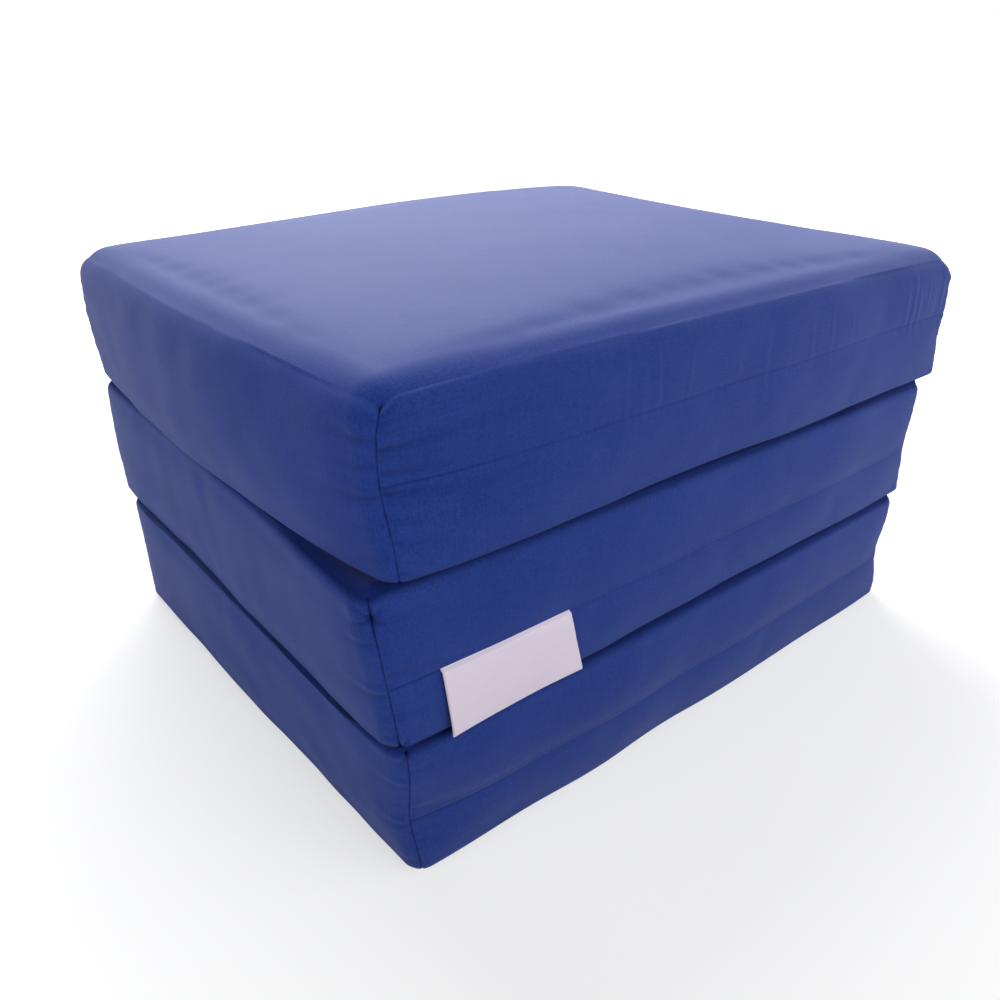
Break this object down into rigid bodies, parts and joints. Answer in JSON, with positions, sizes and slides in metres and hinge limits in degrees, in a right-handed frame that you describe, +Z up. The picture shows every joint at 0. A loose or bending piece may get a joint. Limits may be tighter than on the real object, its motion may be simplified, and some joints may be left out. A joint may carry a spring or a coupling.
{
  "type": "folding mattress",
  "caption": "Folding foam guest mattress: equal foam panels in blue fabric covers with rear zips, joined by fabric hinges, stacked in a Z fold, with a plain label tab on the front",
  "frame": {"origin": "on the floor, under the middle of the folded stack", "axes": "+X to the right along the front side, +Y towards the rear side with the zips, +Z up"},
  "size_m": [0.6214, 0.5111, 0.3662],
  "materials": {
    "cover_fabric": "plain-woven blue poly-cotton, matt with a faint sheen",
    "foam": "cream open-cell polyurethane foam, matt",
    "zip_tape": "dark blue woven polyester tape",
    "zip_teeth": "dark blue nylon, satin",
    "zip_metal": "plated zinc, satin",
    "label_fabric": "white satin-woven ribbon, folded double, left bare"
  },
  "bodies": {
    "bottom_panel": {"bottom_cover": "cover_fabric", "bottom_foam_core": "foam", "bottom_zip_tape_upper": "zip_tape", "bottom_zip_teeth_upper": "zip_teeth", "bottom_zip_tape_lower": "zip_tape", "bottom_zip_teeth_lower": "zip_teeth", "bottom_zip_stop_left": "zip_metal", "bottom_zip_stop_right": "zip_metal", "left_hinge_flap_lower": "cover_fabric"},
    "bottom_slider": {"bottom_zip_slider": "zip_metal"},
    "bottom_pull": {"bottom_zip_pull": "zip_metal"},
    "middle_panel": {"middle_cover": "cover_fabric", "middle_foam_core": "foam", "middle_zip_tape_upper": "zip_tape", "middle_zip_teeth_upper": "zip_teeth", "middle_zip_tape_lower": "zip_tape", "middle_zip_teeth_lower": "zip_teeth", "middle_zip_stop_left": "zip_metal", "middle_zip_stop_right": "zip_metal", "left_hinge_flap_upper": "cover_fabric", "right_hinge_flap_lower": "cover_fabric", "label_tab": "label_fabric"},
    "middle_slider": {"middle_zip_slider": "zip_metal"},
    "middle_pull": {"middle_zip_pull": "zip_metal"},
    "top_panel": {"top_cover": "cover_fabric", "top_foam_core": "foam", "top_zip_tape_upper": "zip_tape", "top_zip_teeth_upper": "zip_teeth", "top_zip_tape_lower": "zip_tape", "top_zip_teeth_lower": "zip_teeth", "top_zip_stop_left": "zip_metal", "top_zip_stop_right": "zip_metal", "right_hinge_flap_upper": "cover_fabric"},
    "top_slider": {"top_zip_slider": "zip_metal"},
    "top_pull": {"top_zip_pull": "zip_metal"}
  },
  "joints": [
    {"name": "left_fold", "type": "hinge", "parent": "bottom_panel", "child": "middle_panel", "pos_m": [-0.311, 0, 0.1193], "axis": [0, -1, 0], "range_deg": [0, 180]},
    {"name": "right_fold", "type": "hinge", "parent": "middle_panel", "child": "top_panel", "pos_m": [0.311, 0, 0.2389], "axis": [0, 1, 0], "range_deg": [0, 180]},
    {"name": "bottom_zip_slide", "type": "slide", "parent": "bottom_panel", "child": "bottom_slider", "axis": [-1, 0, 0], "range_m": [0, 0.5018]},
    {"name": "bottom_pull_swing", "type": "hinge", "parent": "bottom_slider", "child": "bottom_pull", "pos_m": [0.2509, 0.25355, 0.04998], "axis": [0, 0, -1], "range_deg": [0, 180]},
    {"name": "middle_zip_slide", "type": "slide", "parent": "middle_panel", "child": "middle_slider", "axis": [-1, 0, 0], "range_m": [0, 0.5018]},
    {"name": "middle_pull_swing", "type": "hinge", "parent": "middle_slider", "child": "middle_pull", "pos_m": [0.2509, 0.25355, 0.16958], "axis": [0, 0, -1], "range_deg": [0, 180]},
    {"name": "top_zip_slide", "type": "slide", "parent": "top_panel", "child": "top_slider", "axis": [-1, 0, 0], "range_m": [0, 0.5018]},
    {"name": "top_pull_swing", "type": "hinge", "parent": "top_slider", "child": "top_pull", "pos_m": [0.2509, 0.25355, 0.30108], "axis": [0, 0, -1], "range_deg": [0, 180]}
  ]
}
